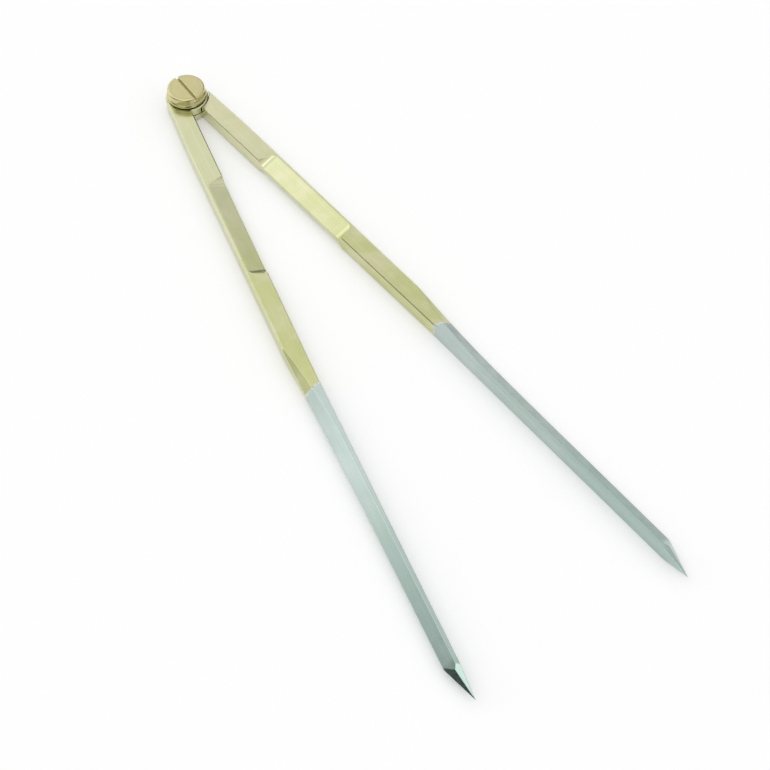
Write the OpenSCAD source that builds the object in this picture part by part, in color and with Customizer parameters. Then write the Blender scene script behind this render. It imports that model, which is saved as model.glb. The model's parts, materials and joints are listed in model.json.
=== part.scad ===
// Straight navigation divider: two brass arms with steel points, turning on a lapped screw joint.
// It lies flat on its underside, with the pivot axis on +Z and the legs pointing to -Y.

/* [Legs] */
// Distance from the pivot axis to the tip of each point
leg_length = 200; // [170:1:230]
// Thickness of both legs
leg_thickness = 4.5; // [4:0.1:6]
// Angle between the legs as they lie
opening = 17; // [0:0.5:90]
// Space between the inner faces of the closed legs at the pivot
pivot_gap = 1.2; // [0.4:0.1:1.6]
// Space between the inner faces of the closed legs at the seam of brass and steel
arm_gap = 2.3; // [0.8:0.1:2.6]
// Space left between the tips of the closed legs
tip_gap = 0.1; // [0.04:0.02:0.3]
// Distance from the pivot to the widest place of an arm
widest_at = 20; // [15:0.5:30]
// How far the outer side stands out past the lug at that place
widest_bulge = 0.45; // [0:0.05:0.8]
// How far the outer side stands out past the lug by the seam, before it is ground
seam_bulge = 0.2; // [0:0.05:0.4]
// Width of the bevel along the long edges of the arms
edge_bevel = 0.3; // [0.1:0.05:0.5]

/* [Lap joint] */
// Diameter of the round lug at the end of each arm
lug_d = 12.2; // [11.6:0.1:14]
// Space around a lug in the hollow shoulder of the other arm
shoulder_clearance = 0.35; // [0.2:0.05:1]
// Thickness of the washer between the two lugs
friction_washer_h = 0.3; // [0.2:0.05:0.6]
// Width of the lug that stays bare round this washer
friction_washer_inset = 0.4; // [0.2:0.1:1]
// Axial play at each face that turns on another
axial_play = 0.02; // [0.01:0.01:0.05]

/* [Pivot screw] */
// Diameter of the shank
shank_d = 5; // [4:0.1:6]
// Space around the shank, on the radius
shank_clearance = 0.04; // [0.02:0.01:0.1]
// Diameter of the cheese head
head_d = 10.7; // [9:0.1:11.4]
// Height of the head
head_h = 1.85; // [1.6:0.05:3]
// Radius of the head's rounded rim
head_rim_r = 0.5; // [0.2:0.1:0.8]
// Width of the screwdriver slot
slot_w = 0.9; // [0.6:0.1:1.4]
// Depth of the screwdriver slot
slot_depth = 1.1; // [0.6:0.1:1.3]
// Turn of the slot from the line midway between the legs
slot_angle = 4; // [-90:1:90]
// Diameter of the washer under the head
head_washer_d = 11.3; // [10.8:0.1:12]
// Thickness of that washer, whose rim is a half round
head_washer_h = 1.5; // [0.8:0.1:2]

/* [Pivot nut] */
// Diameter of the round nut let into the underside
nut_d = 8.6; // [8:0.1:9.6]
// Thickness of the nut
nut_h = 1.2; // [0.8:0.1:1.5]
// Space around the nut, on the radius
nut_clearance = 0.03; // [0.02:0.01:0.1]
// Width of the two key notches in the nut
nut_notch_w = 1; // [0.6:0.1:1.6]
// Depth of the key notches
nut_notch_depth = 0.5; // [0.3:0.1:0.7]

/* [Finger bevel] */
// Distance from the pivot to the start of the bevel's flat
finger_start = 35.3; // [25:0.1:45]
// Distance from the pivot to the end of the bevel's flat
finger_end = 67; // [55:0.1:80]
// Thickness left at the inner edge between the upper and the lower bevel
finger_edge = 1.3; // [0.8:0.1:2.5]
// Width of the flat left beside the outer edge
finger_land = 0.9; // [0.7:0.1:2]
// Radius of the cutter, which leaves a hollow run-out at both ends
finger_cutter_r = 3; // [2:0.1:6]

/* [Steel points] */
// Distance from the pivot to the seam of brass and steel, at the inner face
arm_length = 107.5; // [100:0.5:115]
// Slant of the seam
seam_angle = 20; // [0:1:30]
// Distance from the pivot at which the hollow outer side turns straight
side_grind_end = 150; // [140:1:160]
// Distance from the pivot at which the hollow slanting faces turn straight
face_grind_end = 130; // [120:1:140]
// Width of a point where its outer side turns straight
point_width = 3.8; // [3.4:0.1:4.2]
// Width of the flat beside the inner face at that place
ridge_width = 1.1; // [0.8:0.1:1.5]
// Thickness of the thin outer edge of a point
point_edge = 0.5; // [0.4:0.1:1.2]
// Angle at which the outer edge closes in on the line of the leg
point_taper = 1; // [0.8:0.05:1.3]
// Wheel radius of the hollow grind on the outer side
side_wheel_r = 1500; // [1200:50:2000]
// Wheel radius of the hollow grind on the two slanting faces
face_wheel_r = 325; // [260:5:420]
// Length of the sharpened tip along the outer edge
tip_edge_length = 10; // [9:0.5:14]
// Length of the crest between the two facets of the tip
tip_crest_length = 8; // [6:0.5:9]
// Place of the crest on the slanting face, from its ridge (0) to the thin edge (1)
tip_crest_share = 0.25; // [0.15:0.05:0.4]
// Length of the sharpened tip along the inner face
tip_face_length = 8.5; // [7:0.5:9]
// Length of the tang that is soldered into the arm
tang_length = 12; // [8:0.5:20]
// Width of the tang
tang_w = 1.9; // [1.2:0.1:2.2]
// Thickness of the tang
tang_h = 2; // [1.2:0.1:2.4]
// Distance from the inner face of the arm to the tang
tang_wall = 0.9; // [0.7:0.1:1.2]
// Solder film around the tang
tang_clearance = 0.03; // [0.02:0.01:0.1]

/* [Hidden] */
$fn = 96;
wheel_fn = 256;
brass = "#c8b56a";
bright_brass = "#cfb565";
bronze = "#a9854f";
steel = "#a9bdb8";

// Overlap of cutting shapes past the faces that they cut
cut = 1;
lug_r = lug_d / 2;
pivot_y = pivot_gap / 2;
arm_y = arm_gap / 2;
tip_y = tip_gap / 2;
widest_outer = [widest_at, lug_r + widest_bulge];
seam_outer = [arm_length, lug_r + seam_bulge];
shank_bore_r = shank_d / 2 + shank_clearance;
lower_lug_top = (leg_thickness - friction_washer_h - axial_play) / 2;
upper_lug_bottom = leg_thickness - lower_lug_top;
shoulder_r = lug_r + shoulder_clearance;
head_washer_z = leg_thickness + axial_play;
head_z = head_washer_z + head_washer_h;

// Offset of the inner face of an arm at a distance from the pivot
function arm_inner_at(s) = pivot_y + (arm_y - pivot_y) * s / arm_length;
// Offset of the inner face of a point at a distance from the pivot
function inner_at(s) = arm_y + (tip_y - arm_y) * (s - arm_length) / (leg_length - arm_length);
// Offset of a line that keeps the taper of the point, from its width where the outer side turns straight
function tapered_at(s, width) = inner_at(side_grind_end) + width - (s - side_grind_end) * tan(point_taper);
// Offset of the ridge between the flat and the slanting face, past the hollow grind
function ridge_at(s) = tapered_at(s, ridge_width);
// Offset of the thin outer edge, past the hollow grind
function outer_at(s) = tapered_at(s, point_width);

finger_border = widest_outer.y - finger_land;
finger_drop = (leg_thickness - finger_edge) / 2;
finger_angle = atan2(finger_drop, finger_border - arm_inner_at((finger_start + finger_end) / 2));

// Fall of the slanting face from its ridge to the thin edge
face_drop = (leg_thickness - point_edge) / 2;
face_angle = atan2(face_drop, point_width - ridge_width);

// Corners of the sharpened tip, measured from its apex
tip_edge_s = leg_length - tip_edge_length;
tip_crest_s = leg_length - tip_crest_length;
tip_face_s = leg_length - tip_face_length;
tip_crest_y = ridge_at(tip_crest_s) + tip_crest_share * (point_width - ridge_width);
tip_edge = [-tip_edge_length, outer_at(tip_edge_s) - tip_y, point_edge / 2];
tip_crest = [-tip_crest_length, tip_crest_y - tip_y, leg_thickness / 2 - tip_crest_share * face_drop];
tip_face = [-tip_face_length, inner_at(tip_face_s) - tip_y, leg_thickness / 2];

// Places a leg that is drawn along +X with its outer side towards +Y. The left leg is the mirror image.
module right_side() {
    rotate([0, 0, opening / 2 - 90]) children();
}

module left_side() {
    mirror([1, 0, 0]) right_side() children();
}

// Repeats a cut on the upper face of a leg on its lower face
module both_faces() {
    children();
    translate([0, 0, leg_thickness]) mirror([0, 0, 1]) children();
}

// Stands a profile of length and height up, and draws it out across the leg to both sides
module across_leg(width) {
    rotate([90, 0, 0]) linear_extrude(2 * width, center = true) children();
}

// Path of a wheel: a straight pass from the origin on, and a round run-out before it
module wheel_path(wheel_r, straight, run_out, depth) {
    square([straight, depth]);
    intersection() {
        translate([0, wheel_r]) circle(wheel_r, $fn = wheel_fn);
        translate([-run_out, 0]) square([run_out + cut, depth]);
    }
}

module grind_path(wheel_r, grind_end) {
    wheel_path(wheel_r, leg_length - grind_end + 2 * cut, grind_end - finger_end, lug_d);
}

// Grinds the outer side of the leg from full width down to the narrow point
module side_grind() {
    translate([side_grind_end, outer_at(side_grind_end), -cut])
        rotate([0, 0, -point_taper])
            linear_extrude(leg_thickness + 2 * cut) grind_path(side_wheel_r, side_grind_end);
}

// Grinds a slanting face from the flat beside the inner face down to the thin outer edge
module face_grind() {
    translate([face_grind_end, ridge_at(face_grind_end), leg_thickness])
        rotate([0, 0, -point_taper])
            rotate([-face_angle, 0, 0])
                across_leg(lug_d) grind_path(face_wheel_r, face_grind_end);
}

// Cuts away what lies over the plane through the apex of the tip and two of its corners
module tip_facet(from, to) {
    normal = cross(from, to);
    reach = tip_edge_length + lug_d;
    translate([leg_length, tip_y, leg_thickness / 2])
        rotate([0, 0, -atan2(normal.x, normal.y)])
            rotate([-acos(normal.z / norm(normal)), 0, 0])
                translate([-reach, -reach, 0])
                    cube([2 * reach, 2 * reach, reach]);
}

// Sharpens the tip with a steep facet by the thin edge and a flatter one above it
module tip_grind() {
    tip_facet(tip_edge, tip_crest);
    tip_facet(tip_crest, tip_face);
}

// Bevels the inner edge so that two fingers can part the closed legs
module finger_bevel() {
    translate([0, finger_border, leg_thickness])
        rotate([finger_angle, 0, 0])
            across_leg(lug_d) {
                translate([finger_start, 0]) square([finger_end - finger_start, finger_cutter_r]);
                for (station = [finger_start, finger_end])
                    translate([station, finger_cutter_r]) circle(finger_cutter_r);
            }
}

// Breaks a long edge of the arm between two places
module edge_break(from, to) {
    run = to - from;
    side = edge_bevel * sqrt(2);
    translate([from.x, from.y, leg_thickness])
        rotate([0, 0, atan2(run.y, run.x)])
            rotate([45, 0, 0])
                translate([0, -side / 2, -side / 2])
                    cube([norm(run), side, side]);
}

// Straight bar of the leg before any grinding, a little longer than the finished tip
module bar() {
    end = leg_length + cut;
    linear_extrude(leg_thickness)
        polygon([
            [0, pivot_y], [arm_length, arm_y], [end, inner_at(end)],
            [end, seam_outer.y], seam_outer, widest_outer, [0, lug_r]
        ]);
}

// Disc around the pivot with broken edges
module lug() {
    rim = lug_r - edge_bevel;
    rotate_extrude()
        polygon([
            [0, 0], [rim, 0], [lug_r, edge_bevel],
            [lug_r, leg_thickness - edge_bevel], [rim, leg_thickness], [0, leg_thickness]
        ]);
}

// Whole leg from lug to tip as one ground shape
module ground_leg() {
    difference() {
        bar();
        side_grind();
        both_faces() {
            face_grind();
            tip_grind();
            finger_bevel();
            edge_break([lug_r, arm_inner_at(lug_r)], [arm_length, arm_y]);
            edge_break([0, lug_r], widest_outer);
            edge_break(widest_outer, seam_outer);
        }
    }
    lug();
}

// Space on the pivot's side of the seam
module brass_space() {
    span = 2 * leg_length;
    translate([arm_length, arm_y, -cut])
        rotate([0, 0, -seam_angle])
            translate([-span, -span / 2, 0])
                cube([span, span, leg_thickness + 2 * cut]);
}

// Tang of the point, or its socket in the arm when grown by the solder film
module tang(film) {
    tang_z = (leg_thickness - tang_h) / 2;
    translate([arm_length - tang_length - film, arm_y + tang_wall - film, tang_z - film])
        cube([tang_length + tang_w + film, tang_w + 2 * film, tang_h + 2 * film]);
}

module arm() {
    difference() {
        intersection() {
            ground_leg();
            brass_space();
        }
        tang(tang_clearance);
        translate([0, 0, -cut]) cylinder(r = shank_bore_r, h = leg_thickness + 2 * cut);
    }
}

module point() {
    difference() {
        ground_leg();
        brass_space();
    }
    tang(0);
}

// Round space that one half of the lap joint leaves for the other lug
module lap_space(from_z, to_z) {
    translate([0, 0, from_z]) cylinder(r = shoulder_r, h = to_z - from_z);
}

module left_arm() {
    color(brass)
        left_side()
            difference() {
                arm();
                lap_space(-cut, upper_lug_bottom);
            }
}

module right_arm() {
    color(brass)
        right_side()
            difference() {
                arm();
                lap_space(lower_lug_top, leg_thickness + cut);
                translate([0, 0, -cut]) cylinder(d = nut_d + 2 * nut_clearance, h = nut_h + cut);
            }
}

module left_point() {
    color(steel) left_side() point();
}

module right_point() {
    color(steel) right_side() point();
}

module friction_washer() {
    color(bronze)
        translate([0, 0, lower_lug_top])
            difference() {
                cylinder(r = lug_r - friction_washer_inset, h = friction_washer_h);
                translate([0, 0, -cut]) cylinder(r = shank_bore_r, h = friction_washer_h + 2 * cut);
            }
}

module pivot_screw() {
    head_r = head_d / 2;
    color(bright_brass) {
        cylinder(d = shank_d, h = head_z + head_h - slot_depth);
        translate([0, 0, head_z])
            difference() {
                rotate_extrude() {
                    square([head_r, head_h - head_rim_r]);
                    square([head_r - head_rim_r, head_h]);
                    translate([head_r - head_rim_r, head_h - head_rim_r]) circle(head_rim_r);
                }
                rotate([0, 0, slot_angle])
                    translate([-slot_w / 2, -head_d, head_h - slot_depth])
                        cube([slot_w, 2 * head_d, slot_depth + cut]);
            }
    }
}

module head_washer() {
    rim_r = head_washer_h / 2;
    ring_r = head_washer_d / 2 - rim_r;
    color(bright_brass)
        translate([0, 0, head_washer_z])
            rotate_extrude() {
                translate([shank_bore_r, 0]) square([ring_r - shank_bore_r, head_washer_h]);
                translate([ring_r, rim_r]) circle(rim_r);
            }
}

module pivot_nut() {
    color(brass)
        difference() {
            cylinder(d = nut_d, h = nut_h);
            translate([0, 0, -cut]) cylinder(r = shank_bore_r, h = nut_h + 2 * cut);
            translate([-nut_d, -nut_notch_w / 2, -cut])
                cube([2 * nut_d, nut_notch_w, nut_notch_depth + cut]);
        }
}

left_arm();
right_arm();
left_point();
right_point();
friction_washer();
pivot_screw();
head_washer();
pivot_nut();
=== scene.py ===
"""Looks of a straight navigation divider: ground brass arms, steel points and a slotted pivot screw."""
import json
import math
from typing import NamedTuple

import bpy
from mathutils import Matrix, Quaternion, Vector

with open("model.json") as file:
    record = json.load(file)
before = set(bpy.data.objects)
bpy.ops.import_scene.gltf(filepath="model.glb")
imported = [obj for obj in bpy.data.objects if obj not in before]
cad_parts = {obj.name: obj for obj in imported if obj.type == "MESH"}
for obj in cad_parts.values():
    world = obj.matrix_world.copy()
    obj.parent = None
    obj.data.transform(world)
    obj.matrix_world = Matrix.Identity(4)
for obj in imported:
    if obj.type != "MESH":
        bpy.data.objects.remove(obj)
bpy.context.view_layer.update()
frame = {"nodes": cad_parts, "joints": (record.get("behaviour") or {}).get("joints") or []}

MM = 0.001

# The legs as they lie: half their opening from the frame, and their sides of the middle
SWING = next(joint for joint in frame["joints"] if joint["name"] == "leg_swing")
HALF_OPENING = -math.radians(SWING["range_deg"][0]) / 2
LEG_SIDES = {"right": 1, "left": -1}

# The slanting seam of brass and steel, where it meets the inner face of a leg
SEAM_STATION = 107.5 * MM
SEAM_OFFSET = 1.15 * MM
SEAM_ANGLE = math.radians(20)

# The camera of the photograph, with angles in degrees
PHOTO_SIDE = 770
SENSOR_WIDTH = 36
FOCAL_PIXELS = 1585.7
CAMERA_AZIMUTH = -31.302
CAMERA_ELEVATION = 55.671
CAMERA_ROLL = -0.061
CAMERA_DISTANCE = 404.623 * MM
CAMERA_CLIP = CAMERA_DISTANCE / 100
CAMERA_TARGET = Vector((-1.928, -112.968, 0)) * MM

# The room, in degrees of azimuth from +Y towards +X and of height above the floor.
# Each edge goes from no effect to the full one.
WHITE = (1, 1, 1, 1)
ROOM_HORIZON = 0.45
ROOM_TOP = 0.96
CEILING_EDGE = (62, 80)
CEILING_LEVEL = 0.25
WINDOW_LEFT = (-58, -48)
WINDOW_RIGHT = (35, -10)
WINDOW_HEAD = (68, 44)
WINDOW_SILL = (0, 10)
WINDOW_LEVEL = 0.62

# Round places of the room: azimuth, height, radius of the full effect, radius where it ends, and level
DIM_PLACES = (
    (-91, 4, 12, 27, 0.42),
    (62, 3, 20, 34, 0.43),
    (-75, 35, 5, 25, 0.3),
    (55, 52, 8, 24, 0.08),
    (-161, 18, 8, 26, 0.5),
)
LAMPS = (
    (51, 35, 5, 16, 0.24),
    (18, 60, 1.5, 4.5, 0.6),
    (9, 60, 1.5, 4.5, 0.6),
    (0, 59.5, 1.5, 4.5, 0.6),
    (-114, 74, 5, 13, 0.4),
)

# The floor
FLOOR_SIDE = 24.0
FLOOR_COLOUR = (0.9, 0.9, 0.9, 1)
FLOOR_GLOW = 0.22

# Marks in the metal: scale per metre, detail and roughness of each noise
CLOUD_NOISE = (55.0, 2.0, 0.5)
TINT_NOISE = (120.0, 2.0, 0.5)
SMUDGE_NOISE = (260.0, 3.0, 0.55)
RAGGED_NOISE = (900.0, 2.0, 0.5)
PIT_NOISE = (2200.0, 1.0, 0.5)
SPECK_NOISE = (2600.0, 1.0, 0.5)
RING_NOISE = (2600.0, 3.0, 0.6)
LINE_NOISE = (1.0, 3.0, 0.6)
LINE_STRETCH = (7, 2600, 2600)
SCRATCH_NOISE = (1.0, 1.0, 0.5)
SCRATCH_STRETCH = (220, 5200, 5200)
SCRATCH_TURN = 0.35

# What the marks do, each from one value to another, with the effect at these two where it isn't 0 and 1
CLOUD_TONE = (0.30, 0.70)
TINT_TONE = (0.42, 0.66, 0.0, 0.5)
LINE_TONE = (0.40, 0.75, 0.0, 0.12)
PIT_TONE = (0.77, 0.82, 0.0, 0.4)
SCRATCH_DEPTH = (0.72, 0.82, 0.0, 0.8)
SMUDGE_POLISH = (0.3, 0.7)
# Edges brightened towards the pale colour: partly real rubbed wear, partly painted highlight along the edges
EDGE_TURN = (0.995, 0.90)
EDGE_WEAR_AND_HIGHLIGHT = (0.30, 0.60, 0.35, 0.9)
# Corner grime and painted shade: occlusion darkens corners, gaps, recesses and faces near the floor towards
# the dark colour
CORNER_GRIME_AND_SHADE = (0.55, 0.15, 0.0, 0.85)
SOLDER_RAGGED = (0.3, 0.7, -0.12 * MM, 0.18 * MM)
SOLDER_LINE = (0.36 * MM, 0.22 * MM, 0.0, 0.85)
SPECK_TONE = (0.60, 0.66)
SPECK_REACH = (0.45 * MM, 0.10 * MM, 0.0, 0.5)

# Shares, depths and samples of the finish
# Share of painted shade that darkens the tone along a leg
PAINTED_SHADE_SHARE = 0.7
WHETTED_POLISH = 0.45
DULLED = 0.3
BUMP_DEPTH = 0.005 * MM
EDGE_REACH = 0.25 * MM
EDGE_SAMPLES = 6
SOFT_SAMPLES = 8
CORNER_SAMPLES = 8
SOLDER = (0.80, 0.81, 0.76, 1)


class Finish(NamedTuple):
    """Colours and surface of one metal. Painted shade and whetted are stretches along a leg; over the
    painted shade stretch the tone is painted darker towards the point.
    """

    pale: tuple
    deep: tuple
    tint: tuple
    # Pale colour of grinding lines, rubbed edges and the painted highlight along the edges
    worn: tuple
    # Dark colour of pits, solder specks, corner grime and painted corner shade
    grime_and_shade: tuple
    roughness: tuple = (0.17, 0.23)
    soften: float = 0.10 * MM
    # Reach of the occlusion that paints shade and grime into corners and near the floor
    soot: float = 0.9 * MM
    streak: float = 0.7
    relief: float = 0.2
    fade: tuple = None
    whetted: tuple = None


BRASS = Finish(
    pale=(0.67, 0.69, 0.43, 1),
    deep=(0.585, 0.61, 0.27, 1),
    tint=(0.76, 0.715, 0.51, 1),
    worn=(0.88, 0.88, 0.70, 1),
    grime_and_shade=(0.10, 0.085, 0.03, 1),
)
# Painted shade on the arms, darker from 25 to 85 mm along the leg
ARM_BRASS = BRASS._replace(fade=(25 * MM, 85 * MM))
SCREW_BRASS = BRASS._replace(
    pale=(0.635, 0.59, 0.305, 1),
    deep=(0.575, 0.515, 0.245, 1),
    tint=(0.70, 0.62, 0.36, 1),
    soot=1.2 * MM,
)
BRONZE = BRASS._replace(
    pale=(0.46, 0.34, 0.18, 1),
    deep=(0.33, 0.22, 0.10, 1),
    tint=(0.40, 0.26, 0.13, 1),
    worn=BRASS.deep,
    roughness=(0.3, 0.45),
)
STEEL = Finish(
    pale=(0.55, 0.635, 0.60, 1),
    deep=(0.405, 0.545, 0.485, 1),
    tint=(0.47, 0.565, 0.555, 1),
    worn=(0.74, 0.82, 0.79, 1),
    grime_and_shade=(0.05, 0.07, 0.06, 1),
    roughness=(0.22, 0.27),
    soften=0.2 * MM,
    streak=0.85,
    relief=0.08,
    fade=(115 * MM, 185 * MM),
    whetted=(189 * MM, 191 * MM),
)


class Graph:
    """Short way to add nodes to one node tree and to link them."""

    def __init__(self, tree):
        self.tree = tree
        tree.nodes.clear()

    def add(self, kind, inputs=None, **settings):
        made = self.tree.nodes.new(kind)
        for name, value in settings.items():
            setattr(made, name, value)
        for name, value in (inputs or {}).items():
            self.put(made.inputs[name], value)
        return made

    def put(self, socket, value):
        if isinstance(value, bpy.types.NodeSocket):
            self.tree.links.new(value, socket)
        else:
            socket.default_value = value

    def maths(self, operation, *values):
        made = self.add("ShaderNodeMath", operation=operation)
        for socket, value in zip(made.inputs, values):
            self.put(socket, value)
        return made.outputs[0]

    def dot(self, first, second):
        made = self.add("ShaderNodeVectorMath", operation="DOT_PRODUCT")
        self.put(made.inputs[0], first)
        self.put(made.inputs[1], second)
        return made.outputs["Value"]

    def split(self, vector):
        return self.add("ShaderNodeSeparateXYZ", {"Vector": vector}).outputs

    def ramp(self, value, low, high, to_low=0.0, to_high=1.0):
        inputs = {"Value": value, "From Min": low, "From Max": high, "To Min": to_low, "To Max": to_high}
        made = self.add("ShaderNodeMapRange", inputs, interpolation_type="SMOOTHSTEP")
        return made.outputs["Result"]

    def mix(self, share, first, second):
        made = self.add("ShaderNodeMix", data_type="RGBA")
        for index, value in ((0, share), (6, first), (7, second)):
            self.put(made.inputs[index], value)
        return made.outputs[2]

    def noise(self, vector, scale, detail, roughness):
        inputs = {"Vector": vector, "Scale": scale, "Detail": detail, "Roughness": roughness}
        return self.add("ShaderNodeTexNoise", inputs).outputs["Fac"]

    def place(self, vector, turn=0.0, scale=(1, 1, 1)):
        inputs = {"Vector": vector, "Rotation": (0, 0, turn), "Scale": scale}
        return self.add("ShaderNodeMapping", inputs).outputs["Vector"]


def radians(edge):
    return [math.radians(angle) for angle in edge]


def direction(azimuth, elevation):
    """Unit vector at degrees from +Y towards +X and degrees above the floor."""
    azimuth, elevation = radians((azimuth, elevation))
    level = math.cos(elevation)
    return Vector((math.sin(azimuth) * level, math.cos(azimuth) * level, math.sin(elevation)))


def make_camera():
    """Camera that was fitted to the photograph."""
    data = bpy.data.cameras.new("photo_camera")
    data.sensor_width = SENSOR_WIDTH
    data.lens = FOCAL_PIXELS / PHOTO_SIDE * SENSOR_WIDTH
    data.clip_start = CAMERA_CLIP
    camera = bpy.data.objects.new("photo_camera", data)
    bpy.context.scene.collection.objects.link(camera)
    ahead = direction(-CAMERA_AZIMUTH, -CAMERA_ELEVATION)
    roll = Quaternion((0, 0, 1), math.radians(-CAMERA_ROLL))
    camera.location = CAMERA_TARGET - ahead * CAMERA_DISTANCE
    camera.rotation_mode = "QUATERNION"
    camera.rotation_quaternion = ahead.to_track_quat("-Z", "Y") @ roll
    bpy.context.scene.camera = camera


def round_place(graph, ray, azimuth, height, full, end, level):
    """The level near one direction, which falls to nothing at the end of its radius."""
    near = graph.dot(ray, direction(azimuth, height))
    end, full = radians((end, full))
    return graph.ramp(near, math.cos(end), math.cos(full), 0.0, level)


def make_world():
    """Soft room that is paler above, with a broad window at the back, dim places and small lamps."""
    world = bpy.data.worlds.new("studio")
    bpy.context.scene.world = world
    world.use_nodes = True
    graph = Graph(world.node_tree)
    ray = graph.add("ShaderNodeTexCoord").outputs["Generated"]
    axes = graph.split(ray)
    azimuth = graph.maths("ARCTAN2", axes["X"], axes["Y"])
    elevation = graph.maths("ARCSINE", axes["Z"])

    rise = graph.maths("MULTIPLY", axes["Z"], ROOM_TOP - ROOM_HORIZON)
    level = graph.maths("ADD", rise, ROOM_HORIZON)
    ceiling = graph.ramp(elevation, *radians(CEILING_EDGE), 0.0, CEILING_LEVEL)
    level = graph.maths("ADD", level, ceiling)
    window = graph.ramp(elevation, *radians(WINDOW_SILL), 0.0, WINDOW_LEVEL)
    for angle, edge in ((azimuth, WINDOW_LEFT), (azimuth, WINDOW_RIGHT), (elevation, WINDOW_HEAD)):
        window = graph.maths("MULTIPLY", window, graph.ramp(angle, *radians(edge)))
    level = graph.maths("ADD", level, window)
    for operation, places in (("SUBTRACT", DIM_PLACES), ("ADD", LAMPS)):
        for place in places:
            level = graph.maths(operation, level, round_place(graph, ray, *place))

    light = graph.add("ShaderNodeBackground", {"Color": WHITE, "Strength": level})
    graph.add("ShaderNodeOutputWorld", {"Surface": light.outputs[0]})


def make_floor():
    """Pale floor that keeps the shadow and reads white to the camera and in the metal."""
    half = FLOOR_SIDE / 2
    corners = [(-half, -half, 0), (half, -half, 0), (half, half, 0), (-half, half, 0)]
    mesh = bpy.data.meshes.new("floor")
    mesh.from_pydata(corners, [], [(0, 1, 2, 3)])
    floor = bpy.data.objects.new("floor", mesh)
    bpy.context.scene.collection.objects.link(floor)
    material = bpy.data.materials.new("floor_paper")
    material.use_nodes = True
    graph = Graph(material.node_tree)
    path = graph.add("ShaderNodeLightPath")
    seen = graph.maths("MAXIMUM", path.outputs["Is Camera Ray"], path.outputs["Is Glossy Ray"])
    seen = graph.maths("MAXIMUM", seen, path.outputs["Is Transmission Ray"])
    paper = {
        "Base Color": FLOOR_COLOUR,
        "Roughness": 1.0,
        "Specular IOR Level": 0.0,
        "Emission Color": WHITE,
        "Emission Strength": graph.maths("MULTIPLY", seen, FLOOR_GLOW),
    }
    shader = graph.add("ShaderNodeBsdfPrincipled", paper)
    graph.add("ShaderNodeOutputMaterial", {"Surface": shader.outputs[0]})
    mesh.materials.append(material)


def turned_rings(graph, here):
    """Fine rings round the pivot, as a lathe leaves them."""
    axes = graph.split(here)
    squares = [graph.maths("POWER", axes[name], 2.0) for name in ("X", "Y")]
    radius = graph.maths("SQRT", graph.maths("ADD", *squares))
    rings = graph.add("ShaderNodeCombineXYZ", {"X": radius, "Y": axes["Z"]}).outputs[0]
    return graph.noise(rings, *RING_NOISE)


def bevelled(graph, radius, samples):
    """Normal that turns smoothly over the edges."""
    return graph.add("ShaderNodeBevel", {"Radius": radius}, samples=samples).outputs["Normal"]


def worn_edges(graph, smudge):
    """Share of bright wear and painted edge highlight, uneven along the edges."""
    plain = graph.add("ShaderNodeNewGeometry").outputs["Normal"]
    turn = graph.dot(bevelled(graph, EDGE_REACH, EDGE_SAMPLES), plain)
    return graph.maths("MULTIPLY", graph.ramp(turn, *EDGE_TURN), graph.ramp(smudge, *EDGE_WEAR_AND_HIGHLIGHT))


def base_tone(graph, finish, here, along):
    """Cloudy mixture of the metal's tones, with painted shade that darkens it along a leg."""
    share = graph.ramp(graph.noise(here, *CLOUD_NOISE), *CLOUD_TONE)
    # Painted shade: the tone is painted darker towards the point over this stretch
    if finish.fade is not None:
        fade = graph.ramp(graph.split(along)["X"], *finish.fade, 0.0, PAINTED_SHADE_SHARE)
        share = graph.maths("ADD", fade, graph.maths("MULTIPLY", share, 1 - PAINTED_SHADE_SHARE))
    tone = graph.mix(share, finish.pale, finish.deep)
    return graph.mix(graph.ramp(graph.noise(here, *TINT_NOISE), *TINT_TONE), tone, finish.tint)


def seam_distance(graph, along, side):
    """Distance from the plane in which brass and steel meet."""
    axes = graph.split(along)
    station = graph.maths("SUBTRACT", axes["X"], SEAM_STATION)
    offset = graph.maths("SUBTRACT", graph.maths("MULTIPLY", axes["Y"], side), SEAM_OFFSET)
    across = graph.maths("MULTIPLY", station, math.cos(SEAM_ANGLE))
    across = graph.maths("SUBTRACT", across, graph.maths("MULTIPLY", offset, math.sin(SEAM_ANGLE)))
    return graph.maths("ABSOLUTE", across)


def solder_seam(graph, tone, grime_and_shade, here, seam):
    """Ragged line of solder with dark specks."""
    ragged = graph.ramp(graph.noise(here, *RAGGED_NOISE), *SOLDER_RAGGED)
    line = graph.ramp(graph.maths("ADD", seam, ragged), *SOLDER_LINE)
    tone = graph.mix(line, tone, SOLDER)
    speck = graph.ramp(graph.noise(here, *SPECK_NOISE), *SPECK_TONE)
    speck = graph.maths("MULTIPLY", speck, graph.ramp(seam, *SPECK_REACH))
    return graph.mix(speck, tone, grime_and_shade)


def polish(graph, finish, smudge, along, dull):
    """Roughness, uneven with the smudges, finer on a whetted tip and coarser where corner grime and painted
    shade or wear dull it.
    """
    rough = graph.ramp(smudge, *SMUDGE_POLISH, *finish.roughness)
    if finish.whetted is not None:
        whetted = graph.ramp(graph.split(along)["X"], *finish.whetted, 1.0, WHETTED_POLISH)
        rough = graph.maths("MULTIPLY", rough, whetted)
    return graph.maths("ADD", rough, graph.maths("MULTIPLY", dull, DULLED))


def relief(graph, finish, along, lines):
    """Normal with soft edges, grinding lines and scratches."""
    scratched = graph.noise(graph.place(along, SCRATCH_TURN, SCRATCH_STRETCH), *SCRATCH_NOISE)
    marks = {
        "Strength": finish.relief,
        "Distance": BUMP_DEPTH,
        "Height": graph.maths("SUBTRACT", lines, graph.ramp(scratched, *SCRATCH_DEPTH)),
        "Normal": bevelled(graph, finish.soften, SOFT_SAMPLES),
    }
    return graph.add("ShaderNodeBump", marks).outputs[0]


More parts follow.
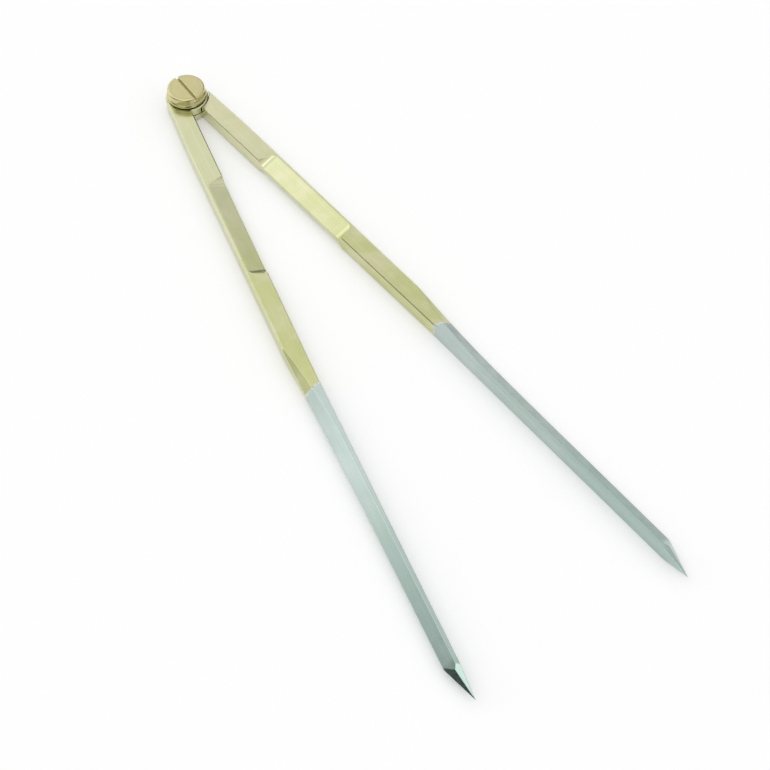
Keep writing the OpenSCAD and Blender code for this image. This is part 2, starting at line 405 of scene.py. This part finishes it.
def ground_metal(name, finish, side=None):
    """Metal with marks along the leg on that side of the middle, or round the pivot if there is no side."""
    material = bpy.data.materials.new(name)
    material.use_nodes = True
    graph = Graph(material.node_tree)
    on_leg = side is not None
    turn = math.pi / 2 - side * HALF_OPENING if on_leg else 0.0
    here = graph.add("ShaderNodeTexCoord").outputs["Object"]
    along = graph.place(here, turn)
    if on_leg:
        lines = graph.noise(graph.place(along, scale=LINE_STRETCH), *LINE_NOISE)
    else:
        lines = turned_rings(graph, here)
    smudge = graph.noise(here, *SMUDGE_NOISE)
    edge = worn_edges(graph, smudge)
    # Occlusion mask, counting the floor too: partly grime in hollows, partly painted shade in corners, gaps
    # and where a part meets the floor
    corner = graph.add("ShaderNodeAmbientOcclusion", {"Distance": finish.soot}, samples=CORNER_SAMPLES)
    corner_grime_and_shade = graph.ramp(corner.outputs["AO"], *CORNER_GRIME_AND_SHADE)

    tone = base_tone(graph, finish, here, along)
    tone = graph.mix(graph.ramp(lines, *LINE_TONE), tone, finish.worn)
    # Bright edges: rubbed wear and painted edge highlight
    tone = graph.mix(edge, tone, finish.worn)
    tone = graph.mix(graph.ramp(graph.noise(here, *PIT_NOISE), *PIT_TONE), tone, finish.grime_and_shade)
    if on_leg:
        tone = solder_seam(graph, tone, finish.grime_and_shade, here, seam_distance(graph, along, side))
    looks = {
        # Base colour darkened by the occlusion mask: partly grime, partly painted shade
        "Base Color": graph.mix(corner_grime_and_shade, tone, finish.grime_and_shade),
        "Metallic": 1.0,
        "Roughness": polish(graph, finish, smudge, along, graph.maths("MAXIMUM", corner_grime_and_shade, edge)),
        "Normal": relief(graph, finish, along, lines),
    }
    if on_leg:
        across = graph.add(
            "ShaderNodeVectorTransform", {"Vector": (math.sin(turn), math.cos(turn), 0)},
            vector_type="VECTOR", convert_from="OBJECT", convert_to="WORLD",
        )
        looks["Tangent"] = across.outputs[0]
        looks["Anisotropic"] = finish.streak
    shader = graph.add("ShaderNodeBsdfPrincipled", looks)
    graph.add("ShaderNodeOutputMaterial", {"Surface": shader.outputs[0]})
    return material


def dress(material, *nodes):
    """Gives CAD nodes their finish."""
    for node in nodes:
        for slot in frame["nodes"][node].material_slots:
            slot.material = material


def dress_divider():
    for name, side in LEG_SIDES.items():
        dress(ground_metal(name + "_arm_brass", ARM_BRASS, side), name + "_arm")
        dress(ground_metal(name + "_point_steel", STEEL, side), name + "_point")
    dress(ground_metal("turned_brass", SCREW_BRASS), "pivot_screw", "head_washer")
    dress(ground_metal("nut_brass", BRASS), "pivot_nut")
    dress(ground_metal("washer_bronze", BRONZE), "friction_washer")


make_camera()
make_world()
make_floor()
dress_divider()
bpy.context.scene.view_settings.view_transform = "Standard"
